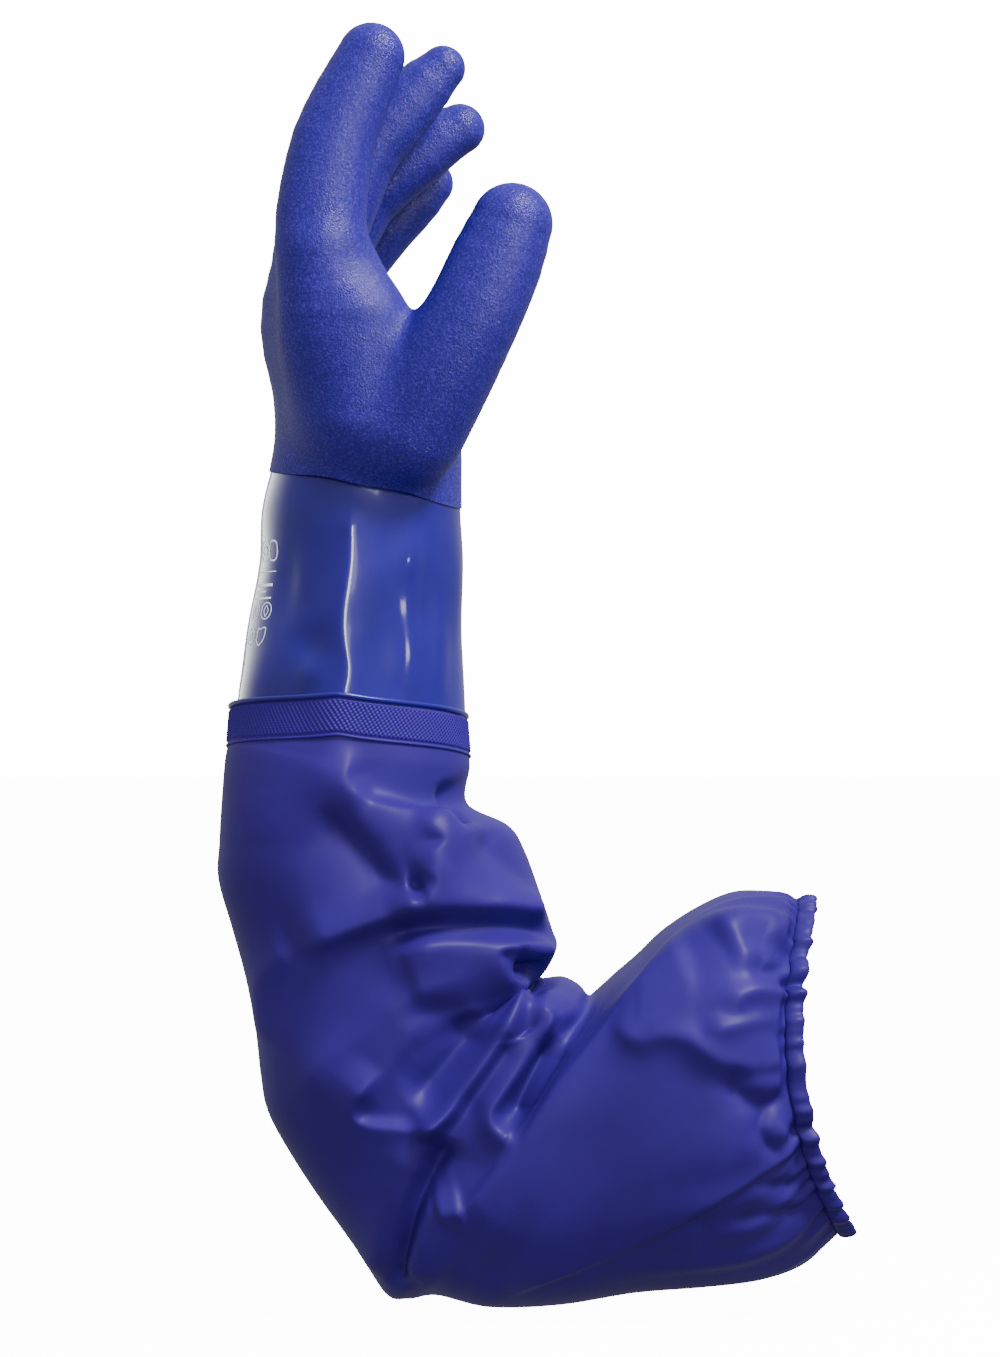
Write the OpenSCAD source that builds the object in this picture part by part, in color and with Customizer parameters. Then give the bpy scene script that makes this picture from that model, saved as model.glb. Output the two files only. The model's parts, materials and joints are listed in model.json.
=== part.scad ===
// Shoulder-length coated work glove, left hand.
// A knitted liner is dipped in PVC: smooth on the cuff, grained on the hand.
// A wide sleeve of thin sheet is welded over the end of the cuff, and its open
// end is gathered by an elastic inside a hem.
// Origin: centre of the arm opening. +Z is up, +X is the side that the palm
// faces, and -Y is the thumb's side. Millimetres.

/* [Sleeve] */
// Inner radius of the arm opening, with the elastic relaxed
opening_r = 63; // [60:1:66]
// Width of the hem that holds the elastic
hem_w = 14; // [12:1:18]
// Thickness of the sleeve sheet
sheet_t = 0.8; // [0.6:0.1:1]
// Radius of the upper sleeve at its widest
upper_wide_r = 85; // [80:1:90]
// Radius of the upper sleeve at the elbow
upper_elbow_r = 62.5; // [62:0.5:66]
// Radius of the lower sleeve at the elbow
lower_elbow_r = 60; // [57:0.5:60]
// Radius of the lower sleeve at its widest
lower_wide_r = 66; // [62:1:68]
// Radius of the lower sleeve under the weld band
lower_top_r = 52; // [51:0.5:54]
// Width of the lapped seam along the sleeve
lap_w = 9; // [6:1:12]

/* [Cuff] */
// Outer radius of the cuff at its open end
cuff_end_r = 49; // [48:0.5:50]
// Outer radius of the cuff at the wrist
cuff_wrist_r = 41; // [40:0.5:42]
// Thickness of the PVC coating
coat_t = 1.3; // [1:0.1:1.5]
// Thickness of the knitted liner
liner_t = 0.9; // [0.6:0.1:1]
// Height of the weld band between cuff and sleeve
band_h = 16; // [12:1:20]
// Radius of the bead round the end of the cuff
bead_r = 1.6; // [1.2:0.1:2]

/* [Hand] */
// Thickness of the palm from front to back at the knuckles
palm_depth = 32; // [31:1:36]
// Breadth of the hand at the knuckles
palm_breadth = 116; // [115:1:120]
// Radius of the mound under the thumb
thumb_mound_r = 25; // [23:1:26]

/* [Motion] */
// Widest bend of the wrist, each way
wrist_bend = 35; // [20:5:35]
// Widest curl of a finger at the knuckle
knuckle_curl = 35; // [30:5:40]
// Widest curl of a finger at its middle joint
finger_curl = 40; // [30:5:50]
// How far a finger straightens at each joint
finger_back = 20; // [10:5:20]
// How far the elbow closes
elbow_close = 20; // [10:5:20]

/* [Hidden] */
$fn = 96;
FAR = 400;       // longer than any part that is cut
GAP = 0.3;       // from a hinge axis to the cut on each side of it
PLAY = 1;        // degrees left open at the end of a bend
SKIN_GAP = 0.05; // between two layers of the hand

elbow = [-182, 0, -43];
band_base = [-209, 0, 132];
wrist = [-200.5, 0, 268];
palm_top = [-221, 0, 338];
thumb_root = [-167, -52, 305];

upper_len = norm(elbow);                              // elbow to arm opening
upper_slope = atan2(-elbow[2], -elbow[0]);            // above +X
lower_axis = band_base - elbow;
lower_len = norm(lower_axis);
lower_lean = atan2(lower_axis[0], lower_axis[2]);     // from +Z towards +X
cuff_axis = wrist - band_base;
cuff_len = norm(cuff_axis);
cuff_lean = atan2(cuff_axis[0], cuff_axis[2]);
crook = 90 - lower_lean - upper_slope;                // angle between the two sleeves
crook_cut = (crook - elbow_close) / 2 - 2;            // what each sleeve keeps of it
liner_off = coat_t + SKIN_GAP;
inner_off = liner_off + liner_t;
hem_start = upper_len - hem_w / 2;
hem_d = 7;        // from the inside to the outside of the hem
elastic_w = 10;   // width of the elastic in the hem
edge_r = 0.9;     // of the raised edge of the weld
skirt_t = 0.7;    // what the second coat adds over the cuff
dip_drop = 24;    // from the wrist down to the dip line
dip_slant = 9;    // of the dip line, down towards +X, in degrees
ink_t = 0.25;     // thickness of the printed ink
print_rise = 38;  // from the end of the cuff to the lowest mark
print_turn = 203; // of the print, around the cuff from +X through +Y

// Outer outlines of the two sleeves, as radius and distance from the elbow
LOWER_OUTLINE = [
    [lower_elbow_r, 0],
    [lower_elbow_r, 45],
    [lower_wide_r, 95],
    [lower_wide_r, 130],
    [lower_top_r + 2, lower_len - 6],
    [lower_top_r, lower_len + 15]
];
UPPER_OUTLINE = [
    [upper_elbow_r, 0],
    [upper_elbow_r, 50],
    [upper_wide_r - 6, 95],
    [upper_wide_r, 130],
    [upper_wide_r - 4, 160],
    [opening_r + hem_d - 1, hem_start - 0.1]
];

// One row a finger: y, z of the knuckle, base radius, tip radius,
// lean and length of the base, lean and length of the tip
INDEX = [-44, 344, 14.5, 14, 4, 50, 24, 53];
MIDDLE = [-14.5, 349, 14.5, 14, 20, 50, 43, 55];
RING = [14.5, 342, 14, 13.5, 38, 47, 60, 52];
LITTLE = [42.5, 330, 13, 12.5, 48, 34, 58, 41];
FINGERS = [INDEX, MIDDLE, RING, LITTLE];
STRIP_EDGES = [-FAR, -29.3, 0.2, 29, FAR]; // where one finger's strip of the hand ends
THUMB = [19, 18.5, 25, 36, 25, 40]; // radii, lean and length of base and tip
THUMB_CLOSE = [12, 35];             // how far base and tip close on the palm
THUMB_OPEN = [15, 5];               // and how far they open

coat_blue = [0.16, 0.22, 0.62];
cuff_blue = [0.12, 0.16, 0.6];
sheet_blue = [0.17, 0.16, 0.53];
knit_white = [0.85, 0.85, 0.82];
ink_grey = [0.78, 0.79, 0.84];

// ---- places: each module moves its children from a local frame to the row frame

// Z along the upper sleeve, from the elbow out of the arm opening
module along_upper() { translate(elbow) rotate([0, 90 - upper_slope, 0]) children(); }

// Z along the lower sleeve, from the elbow to the weld band
module along_lower() { translate(elbow) rotate([0, lower_lean, 0]) children(); }

// Z along the cuff, from the weld band to the wrist
module along_cuff() { translate(band_base) rotate([0, cuff_lean, 0]) children(); }

// Z along a finger's base, from its knuckle
module along_base(f) { translate([palm_top[0], f[0], f[1]]) rotate([0, f[4], 0]) children(); }

// Z along a finger's tip, from its middle joint
module along_tip(f) { along_base(f) translate([0, 0, f[5]]) rotate([0, f[6] - f[4], 0]) children(); }

module along_thumb_base() { translate(thumb_root) rotate([0, THUMB[2], 0]) children(); }

module along_thumb_tip() {
    along_thumb_base() translate([0, 0, THUMB[3]]) rotate([0, THUMB[4] - THUMB[2], 0]) children();
}

// ---- cutters: two half planes that meet on a hinge axis along Y

// Everything above them. They rise by rise_front towards +X and rise_back towards -X.
module above(rise_front, rise_back) {
    rotate([90, 0, 0]) linear_extrude(height = FAR, center = true) polygon([
        [0, -GAP],
        [FAR, FAR * tan(rise_front) - GAP],
        [FAR, 3 * FAR],
        [-FAR, 3 * FAR],
        [-FAR, FAR * tan(rise_back) - GAP]
    ]);
}

// Everything below them
module below(rise_front, rise_back) {
    rotate([90, 0, 0]) linear_extrude(height = FAR, center = true) polygon([
        [0, GAP],
        [FAR, FAR * tan(rise_front) + GAP],
        [FAR, -3 * FAR],
        [-FAR, -3 * FAR],
        [-FAR, FAR * tan(rise_back) + GAP]
    ]);
}

// The half of space on the +X side of a plane through the origin along Y and Z
module front_half() { translate([0, -FAR / 2, -FAR]) cube([FAR, FAR, 2 * FAR]); }

// ---- tubes

// A straight or tapered tube that runs off both ends by over, with a wall from offset out to offset in
module tube(r1, r2, length, out, in, over) {
    grow = (r2 - r1) / length * over;
    difference() {
        translate([0, 0, -over])
            cylinder(h = length + 2 * over, r1 = r1 - grow - out, r2 = r2 + grow - out);
        translate([0, 0, -over - 1])
            cylinder(h = length + 2 * over + 2, r1 = r1 - grow - in, r2 = r2 + grow - in);
    }
}

// A finger stall: a tube with a round closed end
module stall(r, length, out, in, over) {
    straight = length - r;
    difference() {
        union() {
            translate([0, 0, -over]) cylinder(h = straight + over, r = r - out);
            translate([0, 0, straight]) sphere(r = r - out);
        }
        translate([0, 0, -over - 1]) cylinder(h = straight + over + 1, r = r - in);
        translate([0, 0, straight]) sphere(r = r - in);
    }
}

// Base segment of a finger: cut at the knuckle and at the middle joint
module finger_base(f, out, in) {
    bend = (f[6] - f[4]) / 2;
    open_front = knuckle_curl / 2 + PLAY;
    open_back = finger_back / 2 + PLAY;
    along_base(f) difference() {
        tube(f[2], f[3], f[5], out, in, 8);
        below(open_front + f[4] / 2, open_back - f[4] / 2);
        translate([0, 0, f[5]])
            above(-bend - finger_curl / 2 - PLAY, bend - open_back);
    }
}

// Tip segment of a finger
module finger_tip(f, out, in) {
    bend = (f[6] - f[4]) / 2;
    along_tip(f) difference() {
        stall(f[3], f[7], out, in, 8);
        below(bend + finger_curl / 2 + PLAY, -bend + finger_back / 2 + PLAY);
    }
}

module thumb_base(out, in) {
    along_thumb_base() difference() {
        tube(THUMB[0], THUMB[1], THUMB[3], out, in, 8);
        below(THUMB_OPEN[0] / 2 + PLAY, THUMB_CLOSE[0] / 2 + PLAY);
        translate([0, 0, THUMB[3]])
            above(-THUMB_OPEN[1] / 2 - PLAY, -THUMB_CLOSE[1] / 2 - PLAY);
    }
}

module thumb_tip(out, in) {
    along_thumb_tip() difference() {
        stall(THUMB[1], THUMB[5], out, in, 8);
        below(THUMB_OPEN[1] / 2 + PLAY, THUMB_CLOSE[1] / 2 + PLAY);
    }
}

// ---- palm

// The palm as a solid, shrunk by off: from the wrist to the row of knuckles, with the mound
// that the thumb grows out of. It runs past the cuts at wrist and knuckles.
module palm_solid(off) {
    foot = wrist[2] - 8;
    hull() {
        translate([wrist[0], 0, foot]) cylinder(h = 5, r = cuff_wrist_r + 1 - off, $fn = 48);
        translate([wrist[0] + 14, -14, foot]) cylinder(h = 5, r = thumb_mound_r - off, $fn = 32);
        translate([palm_top[0], 0, palm_top[2] - 12]) for (side = [-1, 1])
            translate([0, side * (palm_breadth - palm_depth) / 2, 0])
                cylinder(h = 31, r = palm_depth / 2 - off, $fn = 32);
        translate(thumb_root) sphere(r = THUMB[0] + 1 - off, $fn = 32);
    }
}

// Everything over a finger's knuckle, across the strip of the hand from y1 to y2
module knuckle_cut(f, y1, y2) {
    intersection() {
        translate([palm_top[0], 0, f[1]]) above(
            -knuckle_curl / 2 - PLAY - f[4] / 2, -finger_back / 2 - PLAY + f[4] / 2);
        translate([-FAR, y1 - SKIN_GAP, 0]) cube([FAR, y2 - y1 + 2 * SKIN_GAP, 2 * FAR]);
    }
}

// The room that the thumb swings in
module thumb_cut() {
    along_thumb_base() intersection() {
        above(-THUMB_OPEN[0] / 2 - PLAY, -THUMB_CLOSE[0] / 2 - PLAY);
        rotate([0, -THUMB_CLOSE[0] - PLAY, 0])
            translate([-THUMB[0] - 4, -FAR, -FAR]) cube([FAR, FAR + THUMB[0] + 4, 2 * FAR]);
    }
}

// A hand shell between two offsets, open at wrist, knuckles and thumb
module palm_shell(out, in) {
    difference() {
        palm_solid(out);
        palm_solid(in);
        translate(wrist) below(wrist_bend / 2 + PLAY, wrist_bend / 2 + PLAY);
        for (i = [0:3]) knuckle_cut(FINGERS[i], STRIP_EDGES[i], STRIP_EDGES[i + 1]);
        thumb_cut();
    }
}

module palm_coating() { color(coat_blue) palm_shell(0, coat_t); }

module palm_liner() { color(knit_white) palm_shell(liner_off, inner_off); }

// ---- fingers and thumb

module thumb_coating_base() { color(coat_blue) thumb_base(0, coat_t); }
module thumb_liner_base() { color(knit_white) thumb_base(liner_off, inner_off); }
module thumb_coating_tip() { color(coat_blue) thumb_tip(0, coat_t); }
module thumb_liner_tip() { color(knit_white) thumb_tip(liner_off, inner_off); }
module index_coating_base() { color(coat_blue) finger_base(INDEX, 0, coat_t); }
module index_liner_base() { color(knit_white) finger_base(INDEX, liner_off, inner_off); }
module index_coating_tip() { color(coat_blue) finger_tip(INDEX, 0, coat_t); }
module index_liner_tip() { color(knit_white) finger_tip(INDEX, liner_off, inner_off); }
module middle_coating_base() { color(coat_blue) finger_base(MIDDLE, 0, coat_t); }
module middle_liner_base() { color(knit_white) finger_base(MIDDLE, liner_off, inner_off); }
module middle_coating_tip() { color(coat_blue) finger_tip(MIDDLE, 0, coat_t); }
module middle_liner_tip() { color(knit_white) finger_tip(MIDDLE, liner_off, inner_off); }
module ring_coating_base() { color(coat_blue) finger_base(RING, 0, coat_t); }
module ring_liner_base() { color(knit_white) finger_base(RING, liner_off, inner_off); }
module ring_coating_tip() { color(coat_blue) finger_tip(RING, 0, coat_t); }
module ring_liner_tip() { color(knit_white) finger_tip(RING, liner_off, inner_off); }
module little_coating_base() { color(coat_blue) finger_base(LITTLE, 0, coat_t); }
module little_liner_base() { color(knit_white) finger_base(LITTLE, liner_off, inner_off); }
module little_coating_tip() { color(coat_blue) finger_tip(LITTLE, 0, coat_t); }
module little_liner_tip() { color(knit_white) finger_tip(LITTLE, liner_off, inner_off); }

// ---- cuff

// A layer of the cuff, from start above its open end up to the wrist
module cuff_layer(out, in, start) {
    along_cuff() difference() {
        tube(cuff_end_r, cuff_wrist_r, cuff_len, out, in, 0);
        translate([0, 0, cuff_len]) rotate([0, -cuff_lean, 0])
            above(-wrist_bend / 2 - PLAY, -wrist_bend / 2 - PLAY);
        translate([0, 0, start - FAR]) cylinder(h = FAR, r = FAR);
    }
}

module cuff_coating() { color(cuff_blue) cuff_layer(0, coat_t, 0); }

module cuff_liner() { color(knit_white) cuff_layer(liner_off, inner_off, 6); }

// The grained second coat over the top of the smooth cuff, down to its slanting dip line
module coating_skirt() {
    color(coat_blue) along_cuff() difference() {
        tube(cuff_end_r, cuff_wrist_r, cuff_len, -skirt_t - SKIN_GAP, -SKIN_GAP, 0);
        translate([0, 0, cuff_len]) rotate([0, -cuff_lean, 0])
            above(-wrist_bend / 2 - PLAY, -wrist_bend / 2 - PLAY);
        translate([0, 0, cuff_len - dip_drop]) rotate([0, dip_slant, 0])
            translate([0, 0, -FAR]) cylinder(h = FAR, r = FAR / 2);
    }
}

// The rolled rim of the cuff, which sits on top of the weld band
module cuff_bead() {
    color(cuff_blue) along_cuff() translate([0, 0, band_h + bead_r + SKIN_GAP])
        rotate_extrude() translate([cuff_end_r + bead_r, 0]) circle(r = bead_r, $fn = 32);
}

// A flat outline wrapped on the back of the cuff: its x runs up the cuff, its y around it
module printed() {
    intersection() {
        tube(cuff_end_r, cuff_wrist_r, cuff_len, -ink_t - SKIN_GAP, -SKIN_GAP, 0);
        rotate([0, 0, print_turn]) rotate([0, 90, 0]) rotate([0, 0, 180])
            linear_extrude(height = FAR) children();
    }
}

// Printed size and care marks: plain bars and rings of ink
module cuff_print() {
    bar_gap = 14;
    ring_gap = 12;
    color(ink_grey) along_cuff() {
        for (i = [0:1]) printed()
            translate([print_rise + 27 + bar_gap * i, 0]) square([1.2, 22], center = true);
        for (i = [0:1]) for (side = [-1, 1]) printed()
            translate([print_rise + 6 + ring_gap * i, side * ring_gap / 2]) difference() {
                circle(r = 4.5);
                circle(r = 3.7);
            }
    }
}

// ---- joint of cuff and sleeve

// The welded band, where sleeve sheet and cuff were pressed together
module weld_band() {
    color(sheet_blue) along_cuff() difference() {
        cylinder(h = band_h, r = lower_top_r);
        translate([0, 0, -1]) cylinder(h = band_h + 2, r = cuff_end_r + SKIN_GAP);
    }
}

// The raised edge of the weld, under the band
module weld_band_edge() {
    color(sheet_blue) along_cuff() translate([0, 0, -edge_r - SKIN_GAP])
        rotate_extrude() translate([lower_top_r, 0]) circle(r = edge_r, $fn = 24);
}

// ---- sleeve

// A turned shell: the outline's (radius, height) points moved out by out and in by in
module shell(outline, out, in) {
    rotate_extrude() polygon([
        for (p = outline) p + [out, 0],
        for (i = [len(outline) - 1:-1:0]) outline[i] - [in, 0]
    ]);
}

// A strip of lap_w along the outside of a shell, at an angle around it
module lap_strip(outline, angle, start, end) {
    intersection() {
        shell(outline, sheet_t + SKIN_GAP, -SKIN_GAP);
        rotate([0, 0, angle]) translate([0, -lap_w / 2, start]) cube([FAR, lap_w, end - start]);
    }
}

// Everything above the lower end of the weld
module over_weld() {
    along_cuff() translate([0, 0, -2 * edge_r - 2 * SKIN_GAP]) cylinder(h = FAR, r = FAR / 2);
}

module lower_sleeve_tube() {
    color(sheet_blue) difference() {
        along_lower() difference() {
            shell(LOWER_OUTLINE, 0, sheet_t);
            rotate([0, crook_cut, 0]) front_half();
        }
        over_weld();
    }
}

// Where the edges of the sheet were lapped and welded, on the back of the arm
module lower_sleeve_lap() {
    color(sheet_blue) difference() {
        along_lower() lap_strip(LOWER_OUTLINE, 135, 4, FAR);
        over_weld();
    }
}

// The sheet round the point of the elbow, whose edge slides inside the upper sleeve
module elbow_sleeve() {
    tuck = elbow_close + 4; // degrees that it runs inside the upper sleeve
    color(sheet_blue) translate(elbow) difference() {
        sphere(r = lower_elbow_r);
        sphere(r = lower_elbow_r - sheet_t);
        rotate([0, lower_lean - 90, 0]) front_half();
        rotate([0, -upper_slope - tuck, 0]) front_half();
    }
}

// Out from the elbow, wide in the middle and drawn in at the hem
module upper_sleeve_tube() {
    color(sheet_blue) along_upper() difference() {
        shell(UPPER_OUTLINE, 0, sheet_t);
        mirror([1, 0, 0]) rotate([0, crook_cut, 0]) front_half();
    }
}

module upper_sleeve_lap() {
    color(sheet_blue) along_upper() lap_strip(UPPER_OUTLINE, -40, 8, hem_start - 4);
}

// The folded and welded hem: a hollow ring
module hem_casing() {
    color(sheet_blue) along_upper() translate([0, 0, hem_start]) difference() {
        cylinder(h = hem_w, r = opening_r + hem_d);
        translate([0, 0, -1]) cylinder(h = hem_w + 2, r = opening_r);
        translate([0, 0, sheet_t]) difference() {
            cylinder(h = hem_w - 2 * sheet_t, r = opening_r + hem_d - sheet_t);
            translate([0, 0, -1]) cylinder(h = hem_w + 2, r = opening_r + sheet_t);
        }
    }
}

// The weld that closes the hem, a raised line round its sleeve side
module hem_weld_line() {
    line_r = 0.5;
    color(sheet_blue) along_upper() translate([0, 0, hem_start + 1.5])
        rotate_extrude() translate([opening_r + hem_d + line_r + SKIN_GAP, 0]) circle(r = line_r, $fn = 24);
}

// The elastic inside the hem
module hem_elastic() {
    color(knit_white) along_upper() translate([0, 0, hem_start + (hem_w - elastic_w) / 2]) difference() {
        cylinder(h = elastic_w, r = opening_r + 3.5);
        translate([0, 0, -1]) cylinder(h = elastic_w + 2, r = opening_r + 2.3);
    }
}

// Where the elastic's ends lap and are stitched
module hem_elastic_join() {
    join_l = 20;
    color(knit_white) along_upper() translate([0, 0, hem_start + (hem_w - elastic_w) / 2]) intersection() {
        difference() {
            cylinder(h = elastic_w, r = opening_r + 4.8);
            translate([0, 0, -1]) cylinder(h = elastic_w + 2, r = opening_r + 3.6);
        }
        translate([0, -join_l / 2, 0]) cube([FAR, join_l, elastic_w]);
    }
}

hem_casing();
hem_weld_line();
hem_elastic();
hem_elastic_join();
upper_sleeve_tube();
upper_sleeve_lap();
elbow_sleeve();
lower_sleeve_tube();
lower_sleeve_lap();
weld_band();
weld_band_edge();
cuff_bead();
cuff_coating();
cuff_liner();
cuff_print();
coating_skirt();
palm_coating();
palm_liner();
thumb_coating_base();
thumb_liner_base();
thumb_coating_tip();
thumb_liner_tip();
index_coating_base();
index_liner_base();
index_coating_tip();
index_liner_tip();
middle_coating_base();
middle_liner_base();
middle_coating_tip();
middle_liner_tip();
ring_coating_base();
ring_liner_base();
ring_coating_tip();
ring_liner_tip();
little_coating_base();
little_liner_base();
little_coating_tip();
little_liner_tip();
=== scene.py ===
"""Looks of a long-sleeve coated glove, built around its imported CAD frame.

Lengths in the modelling code are millimetres in that frame; meshes are made in metres.
"""

import json
import math

import bpy
import numpy as np
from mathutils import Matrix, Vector


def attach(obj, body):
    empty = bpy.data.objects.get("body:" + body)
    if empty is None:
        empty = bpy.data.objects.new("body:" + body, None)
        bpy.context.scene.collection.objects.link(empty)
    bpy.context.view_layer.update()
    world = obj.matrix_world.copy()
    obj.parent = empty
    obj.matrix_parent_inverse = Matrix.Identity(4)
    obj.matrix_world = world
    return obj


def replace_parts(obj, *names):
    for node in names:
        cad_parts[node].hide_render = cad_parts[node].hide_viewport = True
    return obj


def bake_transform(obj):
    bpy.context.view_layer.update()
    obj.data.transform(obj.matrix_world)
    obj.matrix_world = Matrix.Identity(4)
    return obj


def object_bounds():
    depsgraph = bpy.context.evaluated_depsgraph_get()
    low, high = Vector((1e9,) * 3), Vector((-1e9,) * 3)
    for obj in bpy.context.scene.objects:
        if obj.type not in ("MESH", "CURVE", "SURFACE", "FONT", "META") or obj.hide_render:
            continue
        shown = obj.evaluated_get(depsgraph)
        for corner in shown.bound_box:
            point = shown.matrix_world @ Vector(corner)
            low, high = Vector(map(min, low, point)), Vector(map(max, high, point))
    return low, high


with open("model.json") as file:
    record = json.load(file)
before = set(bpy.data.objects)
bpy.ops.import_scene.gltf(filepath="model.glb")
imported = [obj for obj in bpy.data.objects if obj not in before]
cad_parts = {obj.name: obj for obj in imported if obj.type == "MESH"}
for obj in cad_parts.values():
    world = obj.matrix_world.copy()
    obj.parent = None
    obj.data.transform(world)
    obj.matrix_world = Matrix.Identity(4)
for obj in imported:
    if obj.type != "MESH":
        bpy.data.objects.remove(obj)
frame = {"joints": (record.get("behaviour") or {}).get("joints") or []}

MM = 0.001
CAD_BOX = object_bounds()
HINGE = {j["name"]: np.array(j["pos_m"]) / MM for j in frame["joints"]}
FINGER_NAMES = ("index", "middle", "ring", "little")


# ---- small helpers

def direction(lean):
    """The unit vector that leans from +Z towards +X, in degrees."""
    a = math.radians(lean)
    return np.array([math.sin(a), 0.0, math.cos(a)])


def smooth_step(x, off, on):
    """0 at off and beyond, 1 at on and beyond, smooth between. Either may be the greater."""
    t = np.clip((x - off) / (on - off), 0, 1)
    return t * t * (3 - 2 * t)


def bell(x, at, wide):
    """A smooth bump, 1 at a place and about a third at wide from it."""
    return np.exp(-((x - at) / wide) ** 2)


def spline(points, n):
    """n points along a smooth curve through the given ones, evenly spaced by length."""
    p = np.array(points, float)
    extended = np.vstack([2 * p[0] - p[1], p, 2 * p[-1] - p[-2]])
    steps_a_span = 24
    t = np.linspace(0, 1, steps_a_span, endpoint=False)[:, None]
    spans = []
    for i in range(len(p) - 1):
        a, b, c, d = extended[i:i + 4]
        spans.append(0.5 * (2 * b + (c - a) * t + (2 * a - 5 * b + 4 * c - d) * t ** 2
                            + (3 * b - a - 3 * c + d) * t ** 3))
    fine = np.vstack(spans + [p[-1:]])
    along = np.concatenate([[0], np.cumsum(np.linalg.norm(np.diff(fine, axis=0), axis=1))])
    at = np.linspace(0, along[-1], n)
    return np.stack([np.interp(at, along, fine[:, k]) for k in range(p.shape[1])], axis=1)


def through(stations, values, at):
    """Values at the given places of a smooth curve through a value at each station."""
    x, y = np.array(stations, float), np.array(values, float)
    slope = np.gradient(y, x)
    i = np.clip(np.searchsorted(x, at) - 1, 0, len(x) - 2)
    h = x[i + 1] - x[i]
    t = np.clip((at - x[i]) / h, 0, 1)
    return ((2 * t ** 3 - 3 * t ** 2 + 1) * y[i] + (t ** 3 - 2 * t ** 2 + t) * h * slope[i]
            + (3 * t ** 2 - 2 * t ** 3) * y[i + 1] + (t ** 3 - t ** 2) * h * slope[i + 1])


def make_mesh(name, verts, faces, material, normals=None):
    """A smooth-shaded object from points in millimetres. normals has a unit vector for each."""
    mesh = bpy.data.meshes.new(name)
    mesh.from_pydata((np.asarray(verts) * MM).tolist(), [], faces.tolist())
    mesh.polygons.foreach_set("use_smooth", np.ones(len(mesh.polygons), bool))
    mesh.update()
    if normals is not None:
        mesh.normals_split_custom_set_from_vertices(np.asarray(normals).tolist())
    obj = bpy.data.objects.new(name, mesh)
    obj.data.materials.append(material)
    bpy.context.scene.collection.objects.link(obj)
    return obj


def grid_faces(rows, around, closed=True):
    """Quads of a grid of rows by around points, closed around or open."""
    i = np.arange(rows - 1)[:, None] * around
    j = np.arange(around if closed else around - 1)[None, :]
    k = (j + 1) % around
    return np.stack([i + j, i + k, i + around + k, i + around + j], axis=-1).reshape(-1, 4)


def grid_normals(p):
    """Vertex normals of a (rows, around, 3) grid that closes around."""
    ahead = np.roll(p, -1, axis=1) - np.roll(p, 1, axis=1)
    n = np.cross(ahead, np.gradient(p, axis=0))
    return n / np.maximum(np.linalg.norm(n, axis=-1, keepdims=True), 1e-9)


def waves(angle, counts, seed):
    """A sum of sines around a ring, between about -1 and 1, with seeded heights and phases."""
    rng = np.random.default_rng(seed)
    total = np.zeros_like(angle)
    for c in counts:
        total += rng.uniform(0.6, 1) * np.sin(c * angle + rng.uniform(0, 2 * math.pi))
    return total / len(counts) ** 0.5


# ---- materials

def material(name, color, roughness, **sockets):
    """A principled material. Further sockets are named with underscores for spaces."""
    m = bpy.data.materials.new(name)
    m.use_nodes = True
    shader = m.node_tree.nodes["Principled BSDF"]
    shader.inputs["Base Color"].default_value = (*color, 1)
    shader.inputs["Roughness"].default_value = roughness
    for key, value in sockets.items():
        shader.inputs[key.replace("_", " ")].default_value = value
    return m


def texture(m, kind, scale, **settings):
    """A texture node in object coordinates, with features about 1/scale metres across."""
    tree = m.node_tree
    coords = tree.nodes.get("Texture Coordinate") or tree.nodes.new("ShaderNodeTexCoord")
    node = tree.nodes.new(kind)
    node.inputs["Scale"].default_value = scale
    for key, value in settings.items():
        node.inputs[key].default_value = value
    tree.links.new(coords.outputs["Object"], node.inputs["Vector"])
    return node


def link_to_shader(m, output, socket):
    m.node_tree.links.new(output, m.node_tree.nodes["Principled BSDF"].inputs[socket])


def tint(m, node, output, stops):
    """Colours the material from a texture's output, through (place, colour) stops."""
    ramp = m.node_tree.nodes.new("ShaderNodeValToRGB")
    elements = ramp.color_ramp.elements
    while len(elements) < len(stops):
        elements.new(0.5)
    for e, (place, color) in zip(elements, stops):
        e.position = place
        e.color = (*color, 1)
    m.node_tree.links.new(node.outputs[output], ramp.inputs["Fac"])
    link_to_shader(m, ramp.outputs["Color"], "Base Color")


def bump(m, height, distance, strength, under=None):
    """A bump of the surface, over another one if given."""
    node = m.node_tree.nodes.new("ShaderNodeBump")
    node.inputs["Distance"].default_value = distance
    node.inputs["Strength"].default_value = strength
    m.node_tree.links.new(height, node.inputs["Height"])
    if under is not None:
        m.node_tree.links.new(under.outputs["Normal"], node.inputs["Normal"])
    link_to_shader(m, node.outputs["Normal"], "Normal")
    return node


def hand_coating_material():
    """Rough PVC: a fine pebbled grain with its own mottled tone, and lighter specks that are
    painted glints on the pebbles, under a thin gloss.
    """
    m = material("grained_pvc_painted_glints", (0.020, 0.008, 0.24), 0.62, Specular_IOR_Level=0.12,
                 Coat_Weight=0.45, Coat_Roughness=0.15)
    grain = texture(m, "ShaderNodeTexNoise", 950, Detail=3.0, Roughness=0.65)
    # the coating's own mottled tone; the top stop paints lighter specks on the raised pebbles, as
    # painted glints
    tint(m, grain, "Fac", [(0.34, (0.011, 0.004, 0.18)), (0.52, (0.021, 0.008, 0.27)),
                           (0.68, (0.060, 0.032, 0.44))])
    pebbles = texture(m, "ShaderNodeTexVoronoi", 1250)
    coarse = bump(m, grain.outputs["Fac"], 0.0006, 0.5)
    pebbled = bump(m, pebbles.outputs["Distance"], 0.0004, 0.5, coarse)
    link_to_shader(m, pebbled.outputs["Normal"], "Coat Normal")
    return m


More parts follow.
